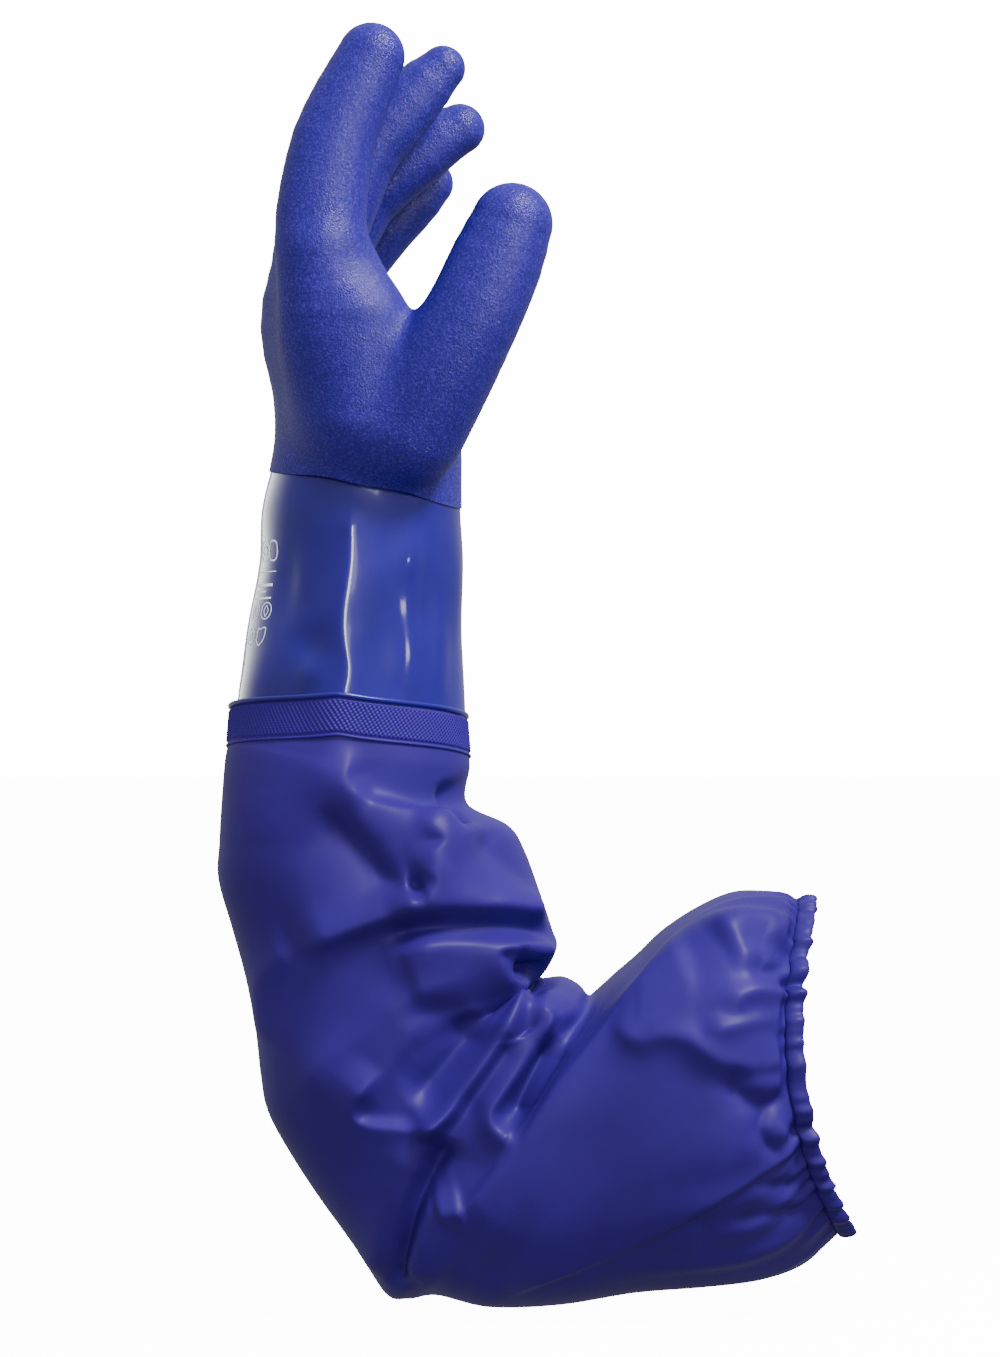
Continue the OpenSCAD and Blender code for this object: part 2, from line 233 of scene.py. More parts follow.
def cuff_material():
    """Smooth glossy PVC, with a faint unevenness from the knit below it."""
    m = material("glossy_pvc", (0.016, 0.0055, 0.22), 0.38, Coat_Weight=0.6, Coat_Roughness=0.10,
                 Specular_IOR_Level=0.15)
    cloud = texture(m, "ShaderNodeTexNoise", 28, Detail=2.0, Roughness=0.5)
    tint(m, cloud, "Fac", [(0.3, (0.011, 0.0035, 0.19)), (0.7, (0.017, 0.005, 0.28))])
    orange_peel = texture(m, "ShaderNodeTexNoise", 140, Detail=2.0, Roughness=0.5)
    bump(m, orange_peel.outputs["Fac"], 0.0006, 0.22)
    return m


def sheet_material(name, brightness):
    """Thin satin PVC sheet: very fine grain, slightly uneven tone. brightness scales its colour;
    above 1 the extra lightness is painted light.
    """
    base = [c * brightness for c in (0.030, 0.0095, 0.195)]
    m = material(name, base, 0.48, Specular_IOR_Level=0.2)
    cloud = texture(m, "ShaderNodeTexNoise", 18, Detail=3.0, Roughness=0.6)
    dark, light = [tuple(c * k for c in base) for k in (0.86, 1.16)]
    tint(m, cloud, "Fac", [(0.3, dark), (0.7, light)])
    grain = texture(m, "ShaderNodeTexNoise", 2600, Detail=2.0, Roughness=0.5)
    ripple = texture(m, "ShaderNodeTexNoise", 90, Detail=3.0, Roughness=0.5)
    under = bump(m, ripple.outputs["Fac"], 0.0012, 0.12)
    bump(m, grain.outputs["Fac"], 0.0001, 0.20, under)
    return m


def knit_material():
    """Off-white knitted elastic."""
    m = material("knitted_liner", (0.72, 0.72, 0.69), 0.9, Sheen_Weight=0.3)
    knit = texture(m, "ShaderNodeTexVoronoi", 700)
    tint(m, knit, "Distance", [(0.0, (0.78, 0.78, 0.75)), (0.8, (0.5, 0.5, 0.48))])
    bump(m, knit.outputs["Distance"], 0.0005, 0.6)
    return m


def ink_material():
    """Pale printing ink, slightly worn."""
    m = material("print_ink", (0.72, 0.74, 0.84), 0.5, Specular_IOR_Level=0.2)
    worn = texture(m, "ShaderNodeTexNoise", 400, Detail=4.0, Roughness=0.7)
    tint(m, worn, "Fac", [(0.3, (0.50, 0.54, 0.74)), (0.5, (0.74, 0.76, 0.86))])
    return m


COAT = hand_coating_material()
CUFF = cuff_material()
SHEET = sheet_material("satin_pvc_sheet", 1.0)
# the weld band is the sheet's PVC painted 1.35 times lighter: painted light, standing in for its
# knurl catching the lamp
WELD_PAINTED_LIGHTER = sheet_material("weld_pvc_painted_lighter", 1.35)
KNIT = knit_material()
INK = ink_material()


# ---- hand

# Each finger: its place along Y, how flat it is, and its middle line in the plane of its joints
# as x, z and half width, from inside the palm to the centre of the round tip.
FINGERS = {
    "index": (-44, 0.80, [
        (-217, 316, 17), (-219.5, 345, 19.3), (-219, 362, 18.8), (-215.6, 383, 17.7),
        (-211.8, 395, 16.8), (-206.3, 407, 16), (-198.6, 423.2, 14.2)]),
    "middle": (-14.5, 0.84, [
        (-221, 322, 16.5), (-221, 349, 19), (-213, 368, 18), (-204, 386, 16.5), (-190, 401, 15),
        (-178.5, 412.5, 12.6), (-169, 421.8, 9.8)]),
    "ring": (14.5, 0.86, [
        (-221, 316, 16.5), (-221, 342, 18.5), (-212, 360, 17.5), (-203, 372, 16),
        (-192, 381, 15.3), (-181, 388.5, 14.2), (-171, 395.5, 12.8), (-162, 400, 11)]),
    "little": (42.5, 0.90, [
        (-219, 306, 14.5), (-221, 330, 16.5), (-207, 348, 15), (-194, 361.8, 13.4),
        (-183, 371.8, 12), (-175.3, 379.8, 10.3)]),
}
INDEX_SLANT = 0.05   # of the index finger towards the middle one, as it rises
NEXT_FINGERS = list(zip(FINGER_NAMES, FINGER_NAMES[1:]))
SLOT_YS = [(FINGERS[a][0] + FINGERS[b][0]) / 2 for a, b in NEXT_FINGERS]
SLOT = 2.6           # gap between two fingers at their roots

THUMB_Y, THUMB_FLAT = -52, 0.92
THUMB = [(-182, 266, 23), (-168.5, 291, 22.3), (-155.5, 314, 20.3), (-147, 333, 19.6),
         (-142, 345, 18.2), (-139.6, 351.2, 17.2)]
THUMB_INWARD = (12, 5, 0, 0, 0, 0)   # how far each point of it lies towards the palm's middle
THUMB_PAST_X = -181                  # the palm keeps what lies left of this

# Rays of the palm from wrist to knuckle: x, y, z and radius
RAYS = [
    [(-202, -14, 256, 20), (-216, -36, 300, 21.5), (-219.5, -43, 340, 17.5)],
    [(-204, -8, 256, 25), (-224, -13, 308, 22.5), (-221, -14.5, 345, 18)],
    [(-204, 8, 256, 25), (-224, 13, 305, 22.5), (-221, 14.5, 338, 17.5)],
    [(-202, 14, 256, 21), (-216, 34, 292, 20.5), (-220, 42, 326, 15.5)],
]
WEB, WEB_FLAT = [(-208, -42, 334, 13), (-194, -46, 300, 13)], 0.8   # skin by the thumb
FILL = [(-204, -37, 272, 22), (-200, -43, 312, 17)]   # the flat between index and thumb
WRIST_TOP = 280      # where the wrist's tube ends inside the palm
WRIST_RADIUS = 40
PROUD = 0.7          # of the second dip over the cuff
# How far neighbouring forms melt into each other
MELT = {"rays": 12, "wrist_top": 26, "wrist": 15, "fill": 16, "thumb": 10, "web": 7,
        "fingers": 5, "slots": 2.5}
# How far the base of each finger leans from +Z towards +X, in degrees
LEANS = {"index": 4, "middle": 20, "ring": 38, "little": 48, "thumb": 25}
HAND_BOX = (-256, -82, 228), (-114, 68, 442)


def smooth_min(a, b, k):
    """The smaller of two distances, with the edge between them rounded by k."""
    h = np.clip(0.5 + 0.5 * (b - a) / k, 0, 1)
    return b + (a - b) * h - k * h * (1 - h)


def limb(p, line, squeeze=1.0):
    """Distance to a bent tapered limb through x, y, z and radius points. squeeze below 1
    flattens it along Y."""
    line = spline(line, 12) if len(line) > 2 else np.array(line, float)
    best = np.full(len(p), 1e9)
    for a, b in zip(line[:-1], line[1:]):
        ab = b[:3] - a[:3]
        q = p - a[:3]
        t = np.clip((q @ ab) / (ab @ ab), 0, 1)
        off = q - t[:, None] * ab
        off[:, 1] /= squeeze
        best = np.minimum(best, np.sqrt((off * off).sum(1)) - (a[3] + t * (b[3] - a[3])))
    return best


def finger_distance(p, name):
    y, squeeze, line = FINGERS[name]
    slant = INDEX_SLANT if name == "index" else 0
    return limb(p, [(x, y + slant * (z - line[0][1]), z, r) for x, z, r in line], squeeze)


def thumb_distance(p, inward=(0,) * len(THUMB)):
    return limb(p, [(x, THUMB_Y + shift, z, r) for (x, z, r), shift in zip(THUMB, inward)],
                THUMB_FLAT)


def past_root(p, name):
    """How far points lie past the plane where a finger leaves the palm."""
    return (p - HINGE[name + "_base"]) @ direction(LEANS[name])


def cuff_section(z):
    """Centre in X and the two half widths of the cuff, and of the wrist in it, at a height."""
    at = np.array([130.0, 150, 176, 212, 235, 250, 262, 290])
    centre = through(at, [-208.6, -208.6, -206.8, -204.6, -204.2, -202.4, -200.6, -199.8], z)
    half_x = through(at, [50.0, 48.8, 46.6, 43.9, 42.6, 40.8, 39.2, 38.4], z)
    half_y = through(at, [49.0, 47.5, 45.5, 43.0, 41.5, 40.0, 38.0, 34.0], z)
    return centre, half_x, half_y


def hand_field(p):
    """Signed distance to the outside of the hand's coating, in millimetres."""
    x, y, z = p.T
    palm = limb(p, RAYS[0])
    for ray in RAYS[1:]:
        palm = smooth_min(palm, limb(p, ray), MELT["rays"])
    centre, half_x, half_y = cuff_section(z)
    out = np.sqrt(((x - centre) / half_x) ** 2 + (y / half_y) ** 2) - 1
    wrist = -smooth_min(PROUD - out * WRIST_RADIUS, WRIST_TOP - z, MELT["wrist_top"])
    palm = smooth_min(palm, wrist, MELT["wrist"])
    palm = smooth_min(palm, limb(p, FILL), MELT["fill"])
    palm = smooth_min(palm, thumb_distance(p, THUMB_INWARD), MELT["thumb"])
    field = smooth_min(palm, limb(p, WEB, WEB_FLAT), MELT["web"])
    for name in FINGER_NAMES:
        field = smooth_min(field, finger_distance(p, name), MELT["fingers"])
    for (a, b), y_slot in zip(NEXT_FINGERS, SLOT_YS):
        past = np.maximum(past_root(p, a), past_root(p, b))
        slot = np.maximum(np.abs(y - y_slot) - SLOT / 2, -(past + 2))
        field = -smooth_min(-field, slot, MELT["slots"])
    return field


def gradient(field, p, h=0.25):
    return np.stack([field(p + h * e) - field(p - h * e) for e in np.eye(3)], axis=1) / (2 * h)


def onto_surface(field, p, most):
    """Points moved to the zero surface of a field, by no more than most along each axis."""
    g = gradient(field, p)
    size = np.maximum((g ** 2).sum(1, keepdims=True), 0.05)
    return p - np.clip(field(p)[:, None] * g / size, -most, most)


def sample(field, low, high, step):
    """The field on a grid: roughly everywhere, and exactly near its zero surface."""
    axes = [np.arange(a, b + step, step) for a, b in zip(low, high)]
    skip, near_steps = 3, 4.2
    coarse = [a[::skip] for a in axes]
    rough = field(np.stack(np.meshgrid(*coarse, indexing="ij"), axis=-1).reshape(-1, 3))
    nearest = [np.minimum((np.arange(len(a)) + skip // 2) // skip, len(c) - 1)
               for a, c in zip(axes, coarse)]
    values = rough.reshape([len(c) for c in coarse])[np.ix_(*nearest)]
    near = np.argwhere(np.abs(values) < near_steps * step)
    values[tuple(near.T)] = field(np.stack([a[near[:, k]] for k, a in enumerate(axes)], axis=1))
    return values


def extract(field, low, high, step):
    """Surface nets: the zero surface of a field as points and quads."""
    values = sample(field, low, high, step)
    cells = tuple(n - 1 for n in values.shape)

    def corner(c):
        return values[tuple(slice(k, k + n) for k, n in zip(c, cells))]

    # one point in each cell that the surface crosses, amid the crossings of the cell's edges
    total, count = np.zeros(cells + (3,)), np.zeros(cells)
    for axis in range(3):
        for other in ((0, 0), (0, 1), (1, 0), (1, 1)):
            a = list(other)
            a.insert(axis, 0)
            b = list(a)
            b[axis] = 1
            va, vb = corner(a), corner(b)
            cross = (va < 0) != (vb < 0)
            t = np.where(cross, va / np.where(cross, va - vb, 1), 0)
            for k in range(3):
                total[..., k] += np.where(cross, a[k] + (t if k == axis else 0), 0)
            count += cross
    used = count > 0
    index = -np.ones(cells, int)
    index[used] = np.arange(used.sum())
    verts = (np.argwhere(used) + total[used] / count[used][:, None]) * step + np.array(low)
    # one quad round each edge of the grid that the surface crosses
    quads = []
    for axis in range(3):
        a, b = [k for k in range(3) if k != axis]
        v0, v1 = np.delete(values, -1, axis), np.delete(values, 0, axis)
        edge = np.argwhere((v0 < 0) != (v1 < 0))
        edge = edge[((edge[:, [a, b]] > 0) & (edge[:, [a, b]] < [cells[a], cells[b]])).all(1)]
        inside = v0[tuple(edge.T)] < 0
        ring = []
        for da, db in ((0, 0), (-1, 0), (-1, -1), (0, -1)):
            c = edge.copy()
            c[:, a] += da
            c[:, b] += db
            ring.append(index[tuple(c.T)])
        q = np.stack(ring, axis=1)
        flip = inside if axis != 1 else ~inside
        quads.append(np.where(flip[:, None], q, q[:, ::-1]))
    for _ in range(3):
        verts = onto_surface(field, verts, step)
    return verts, np.vstack(quads)


def relax(verts, quads, field, rounds):
    """Evens out a mesh on its field."""
    edges = np.vstack([quads[:, [i, (i + 1) % 4]] for i in range(4)])
    edges = np.unique(np.sort(edges, axis=1), axis=0)
    for _ in range(rounds):
        total, count = np.zeros_like(verts), np.zeros(len(verts))
        for a, b in ((0, 1), (1, 0)):
            np.add.at(total, edges[:, a], verts[edges[:, b]])
            np.add.at(count, edges[:, a], 1)
        verts = onto_surface(field, 0.5 * verts + 0.5 * total / count[:, None], 1)
    return verts


def segment_ends(name):
    """Where a finger's two bends start and end, as distances past its root. The second one is
    centred on the second hinge."""
    length = np.linalg.norm(HINGE[name + "_tip"] - HINGE[name + "_base"])
    root_start = 4.0 if name == "thumb" else 2.0
    root_end = root_start + min(26.0, 0.45 * length)
    tip_start = root_end + 3
    return root_start, root_end, tip_start, 2 * length - tip_start


DIP_SLANT = 10.8          # of the dip line, down towards +X, in degrees
DIP_AT = np.array([-202.0, 0.0, 242.5])
UP = direction(DIP_SLANT)
WRIST_START, WRIST_END = 8.0, 56.0   # the bend at the wrist, past the dip line


def hand_parts(c):
    """The piece that each point belongs to. Each starts a little before its bend."""
    part = np.full(len(c), "palm_coating_skin", dtype=object)
    part[(c - DIP_AT) @ UP < WRIST_START - 1.5] = "skirt_skin"
    near = np.stack([finger_distance(c, n) for n in FINGER_NAMES] + [thumb_distance(c)], axis=1)
    of_thumb = near.argmin(1) == len(FINGER_NAMES)
    strip_ends = [-np.inf, *SLOT_YS, np.inf]
    for i, name in enumerate(FINGER_NAMES + ("thumb",)):
        root_start, root_end, _, _ = segment_ends(name)
        past = past_root(c, name)
        if name == "thumb":
            mine = of_thumb & (c[:, 0] > THUMB_PAST_X)
        else:
            mine = ~of_thumb & (c[:, 1] > strip_ends[i]) & (c[:, 1] < strip_ends[i + 1])
        part[mine & (past > root_start - 2)] = name + "_base_skin"
        part[mine & (past > root_end + 1.5)] = name + "_tip_skin"
    return part


def dip_wave(p):
    """How far the dip line wanders up and down."""
    return 0.5 * np.sin(p[:, 1] * 0.11) + 0.3 * np.sin(p[:, 0] * 0.2 + 1)


def build_hand():
    """The hand's coating as one smooth surface, cut at its joints into pieces, by name."""
    verts, quads = extract(hand_field, *HAND_BOX, 1.6)
    verts = relax(verts, quads, hand_field, 3)
    normals = gradient(hand_field, verts)
    normals /= np.linalg.norm(normals, axis=1, keepdims=True)
    centres = verts[quads].mean(1)
    keep = (centres - DIP_AT) @ UP > dip_wave(centres)
    part = hand_parts(centres)
    # the rim's points move onto the dip line, so that it runs smoothly
    rim = np.intersect1d(quads[keep], quads[~keep])
    verts[rim, 2] += (dip_wave(verts[rim]) - (verts[rim] - DIP_AT) @ UP) / UP[2]
    pieces = {}
    for name in sorted(set(part)):
        used, faces = np.unique(quads[keep & (part == name)], return_inverse=True)
        pieces[name] = make_mesh(name, verts[used], faces.reshape(-1, 4), COAT, normals[used])
    return pieces


def blend_hand(pieces):
    """Ties the skirt to the lower sleeve, and hides the CAD parts that the hand's pieces replace.
    """
    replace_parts(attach(pieces["skirt_skin"], "lower_sleeve"), "coating_skirt")
    palm = pieces["palm_coating_skin"]
    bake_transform(palm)
    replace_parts(palm, "palm_coating", "palm_liner")
    for name in FINGER_NAMES + ("thumb",):
        base, tip = pieces[name + "_base_skin"], pieces[name + "_tip_skin"]
        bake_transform(base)
        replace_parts(base, name + "_coating_base", name + "_liner_base")
        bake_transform(tip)
        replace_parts(tip, name + "_coating_tip", name + "_liner_tip")
    return list(pieces.values())


# ---- cuff, bead and weld band

BAND_BOTTOM, BAND_TOP = 130.6, 146.6
BAND_CENTRE = -209.6
# The rings of the weld rise towards the front and towards -X, and come to a low peak in front
LIFT, SIDE_SLOPE = -0.12, -0.04
PEAK_X, PEAK, PEAK_REACH = -212, 1.8, 9


def ring_height(z, x, y, share=1.0):
    """The height of a ring of the weld at x and y. share below 1 makes it more level."""
    peak = np.where(y < 0, np.exp(-np.hypot(x - PEAK_X, 2) / PEAK_REACH), 0)
    return z + share * (LIFT * y + SIDE_SLOPE * (x - BAND_CENTRE) + PEAK * peak)


# Soft dents and bulges of the cuff: degrees around, height, how wide and how tall, depth
DENTS = [
    (300, 214, 9, 13, 1.6), (312, 190, 8, 22, -1.6), (248, 172, 10, 9, -1.5),
    (252, 158, 9, 7, 1.4), (286, 164, 9, 14, -1.3), (322, 168, 8, 20, 1.3), (240, 205, 9, 16, 1.0),
    (340, 200, 12, 30, 1.2), (25, 190, 14, 26, -1.6), (60, 170, 12, 22, 1.5),
    (120, 195, 14, 30, -1.6), (160, 170, 16, 24, 1.4), (196, 205, 14, 22, -1.0),
]
RIDGE, RIDGE_AT, RIDGE_REACH = 4.2, 267, 15   # the crest down the front, at degrees around


def cuff_surface(angle, z):
    """Points of the cuff's outside at angles around from +X and heights."""
    centre, half_x, half_y = cuff_section(z)
    turn = np.degrees(angle) % 360
    # the crest wanders sideways, and fades out towards the hand as all relief does
    off = turn - RIDGE_AT + 2.2 * bell(z, 188, 22) - 3.5 * bell(z, 158, 12)
    crest = np.exp(-(np.hypot(off, 2.2) - 2.2) / RIDGE_REACH)
    low = smooth_step(z, 250, 205)
    swell = RIDGE * smooth_step(z, 244, 224) * crest
    swell -= low * (2.2 * bell(turn, 230, 22) - 2.5 * bell(turn, 95, 12))
    swell += low * (0.4 * np.sin(3 * angle + z * 0.06) + 0.3 * np.sin(5 * angle - z * 0.11))
    for at, height, wide, tall, depth in DENTS:
        swell += depth * low * bell(turn, at, wide) * bell(z, height, tall)
    x = centre + (half_x + swell) * np.cos(angle)
    y = (half_y + swell) * np.sin(angle)
    return np.stack([x, y, ring_height(z, x, y, smooth_step(z, 215, 150))], axis=-1)


def build_cuff():
    """The smooth cuff, from inside the weld band up to a slanting edge under the hand's skirt."""
    around, rows = 480, 220
    below, above, radius = 10, 7, 41
    angle = np.linspace(0, 2 * math.pi, around, endpoint=False)
    share = np.linspace(0, 1, rows)[:, None]
    bottom = BAND_TOP - below
    top = DIP_AT[2] + above - np.tan(math.radians(DIP_SLANT)) * radius * np.cos(angle)[None, :]
    z = bottom + (top - bottom) * share
    p = cuff_surface(np.broadcast_to(angle, z.shape), z)
    obj = make_mesh("cuff_skin", p.reshape(-1, 3), grid_faces(rows, around), CUFF,
                    grid_normals(p).reshape(-1, 3))
    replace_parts(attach(obj, "lower_sleeve"), "cuff_coating", "cuff_liner")
    return obj


def band_swell(angle):
    """How far the weld band follows the cuff's ridge out, and the flats beside it in."""
    turn = np.degrees(angle) % 360
    return 2.4 * bell(turn, 266, 12) - 1.6 * bell(turn, 235, 24) - 1.4 * bell(turn, 298, 20)


def ring_tube(name, z, radius, section, skin):
    """A bead around the band, at a height and radius. section is the radius of its round."""
    around, sides = 360, 12
    angle = np.linspace(0, 2 * math.pi, around, endpoint=False)
    out = np.stack([np.cos(angle), np.sin(angle), np.zeros(around)], axis=1)
    centre = out * (radius + band_swell(angle))[:, None] + [BAND_CENTRE, 0, 0]
    centre[:, 2] = ring_height(z, centre[:, 0], centre[:, 1])
    up = np.array([0, 0, 1.0])
    verts = np.vstack([centre + section * (math.cos(s) * out + math.sin(s) * up)
                       for s in np.linspace(0, 2 * math.pi, sides, endpoint=False)])
    faces = grid_faces(sides + 1, around) % len(verts)   # the last row is the first again
    return make_mesh(name, verts, faces[:, ::-1], skin)


def build_band():
    """The knurled weld: fine slanting ribs crossed by others, with a bead at each edge."""
    around, rows = 1500, 46
    ribs_around, rib_slant, cross_slant = 160, 0.30, 0.62
    outer, taper, relief, edge_drop, rim_depth = 52.3, 1.3, 0.48, 0.5, 6
    angle = np.linspace(0, 2 * math.pi, around, endpoint=False)[None, :]
    share = np.linspace(0, 1, rows)[:, None]
    z = BAND_BOTTOM + (BAND_TOP - BAND_BOTTOM) * share
    up = z - BAND_BOTTOM
    knurled = smooth_step(up, 1.0, 1.8) * smooth_step(up, 15.4, 14.6)
    turns = angle / (2 * math.pi) * ribs_around
    ribs = np.sin(2 * math.pi * (turns + up * rib_slant))
    cross = np.sin(2 * math.pi * (turns - up * cross_slant))
    pattern = 0.75 * np.maximum(ribs, -0.2) + 0.55 * np.maximum(cross, -0.2)
    radius = (outer - taper * share + band_swell(angle) + knurled * relief * pattern
              - edge_drop * (1 - knurled))
    x = BAND_CENTRE + radius * np.cos(angle)
    y = radius * np.sin(angle)
    p = np.stack([x, y, ring_height(z, x, y)], axis=-1)
    inward = np.stack([np.cos(angle[0]), np.sin(angle[0]), np.zeros(around)], axis=1)
    p = np.concatenate([p, (p[-1] - rim_depth * inward)[None]])
    obj = make_mesh("weld_band_skin", p.reshape(-1, 3), grid_faces(rows + 1, around), WELD_PAINTED_LIGHTER)
    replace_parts(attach(obj, "lower_sleeve"), "weld_band")
    bead = ring_tube("cuff_bead_skin", BAND_TOP + 0.8, 50.8, 1.1, CUFF)
    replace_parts(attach(bead, "lower_sleeve"), "cuff_bead")
    edge = ring_tube("weld_edge_skin", BAND_BOTTOM - 0.2, 52.2, 0.6, WELD_PAINTED_LIGHTER)
    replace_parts(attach(edge, "lower_sleeve"), "weld_band_edge")


# ---- print on the cuff

MM_A_DEGREE = 46 * math.pi / 180   # along the cuff's way around


def on_cuff(turn, z, proud=0.12):
    """A point just outside the cuff, at degrees around from +X and a height."""
    angle = np.radians(turn)
    return cuff_surface(angle, z) + proud * np.stack(
        [np.cos(angle), np.sin(angle), np.zeros_like(angle)], axis=-1)


def stroke(path, width, closed=False):
    """Points and quads of a flat ribbon along turn and height points on the cuff."""
    flat = np.array(path, float) * [MM_A_DEGREE, 1]
    if closed:
        ahead = np.roll(flat, -1, axis=0) - np.roll(flat, 1, axis=0)
    else:
        ahead = np.gradient(flat, axis=0)
    side = np.stack([-ahead[:, 1], ahead[:, 0]], axis=1)
    side *= width / 2 / np.linalg.norm(side, axis=1, keepdims=True)
    edges = [(flat + k * side) / [MM_A_DEGREE, 1] for k in (-1, 0, 1)]
    return np.concatenate([on_cuff(*e.T) for e in edges]), grid_faces(3, len(path), closed)


def oval(turn, z, half_w, half_h, power=2.0):
    """Turn and height points of a round, or with another power a boxy or pointed, outline."""
    t = np.linspace(0, 2 * math.pi, 48, endpoint=False)
    c, s = [np.sign(v) * np.abs(v) ** (2 / power) for v in (np.cos(t), np.sin(t))]
    return np.stack([turn + half_w / 0.8 * c, z + half_h * s], axis=1)


def rule(z, start, end):
    return [(turn, z) for turn in np.linspace(start, end, 24)]


def build_print():
    """Plain rings, short rules and a shield outline, with no lettering."""
    shield = [(206.5, 181.2), (209, 180.4), (211.5, 181.2), (213.8, 180.4), (213.5, 176),
              (211.4, 173.6), (209.8, 172.8), (208, 173.8), (206.4, 176.2)]
    # outlines and rules with their line widths
    closed = [(oval(turn, z, 3.8, 3.9), 0.55) for turn, z in ((199, 189), (211, 189), (198, 177.5))]
    closed += [(oval(199, 189, 2.1, 2.1), 0.5), (oval(211, 189, 1.6, 2.6, 1.2), 0.5),
               (spline(shield + shield[:1], 49)[:-1], 0.55), (oval(198, 177.5, 1.7, 1.7, 1.3), 0.5)]
    rules = [(rule(201, 192, 214), 1.3), (rule(198, 192, 208), 0.9), (rule(195, 192, 214), 0.9),
             (rule(207, 190, 216), 0.4)]
    boxes = [(oval(200, 216, 5.6, 4.2, 3), 0.7), (oval(212, 216, 3.4, 4.2, 3), 0.7),
               (oval(200, 216, 3.0, 2.0, 2), 0.6)]
    verts, faces, total = [], [], 0
    for paths, is_closed in ((closed, True), (rules, False), (boxes, True)):
        for path, width in paths:
            p, f = stroke(path, width, is_closed)
            verts.append(p)
            faces.append(f + total)
            total += len(p)
    obj = make_mesh("cuff_print_marks", np.vstack(verts), np.vstack(faces), INK)
    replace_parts(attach(obj, "lower_sleeve"), "cuff_print")
    return obj


# ---- sleeve

# Stations from the weld band to the hem: the outer point and the inner point of the sleeve's
# outline in the XZ plane, and its half depth along Y.
STATIONS = [
    ((-260.5, 135.5), (-158.3, 132.5), 51.2), ((-262.6, 127), (-157.4, 124), 52.3),
    ((-264, 108), (-158.5, 108), 53.5), ((-264.8, 92), (-141, 98.5), 56),
    ((-265.2, 76), (-134, 88), 58.5), ((-259, 54), (-127, 69), 61),
    ((-253.5, 34), (-122, 54), 62), ((-249.5, 14), (-120, 47), 63),
    ((-247, -8), (-124, 38), 63.5), ((-244, -23), (-130, 31), 63.5),
    ((-235, -40), (-125, 32), 64), ((-222, -60), (-117, 33), 64.5),
    ((-206, -82), (-110, 29.5), 65), ((-193.5, -101), (-105.5, 25), 66),
    ((-184, -103), (-99, 30), 67), ((-172, -101.5), (-93, 35.5), 68),
    ((-150, -106.5), (-84, 43.5), 70.5), ((-120, -105.5), (-73, 54), 74),
    ((-88, -100.5), (-58, 63.5), 77.5), ((-58, -98), (-43, 69.5), 79),
    ((-32, -95), (-29, 70), 76), ((-13, -88), (-22, 69), 71),
    ((0, -76), (-17, 65.5), 66),
]

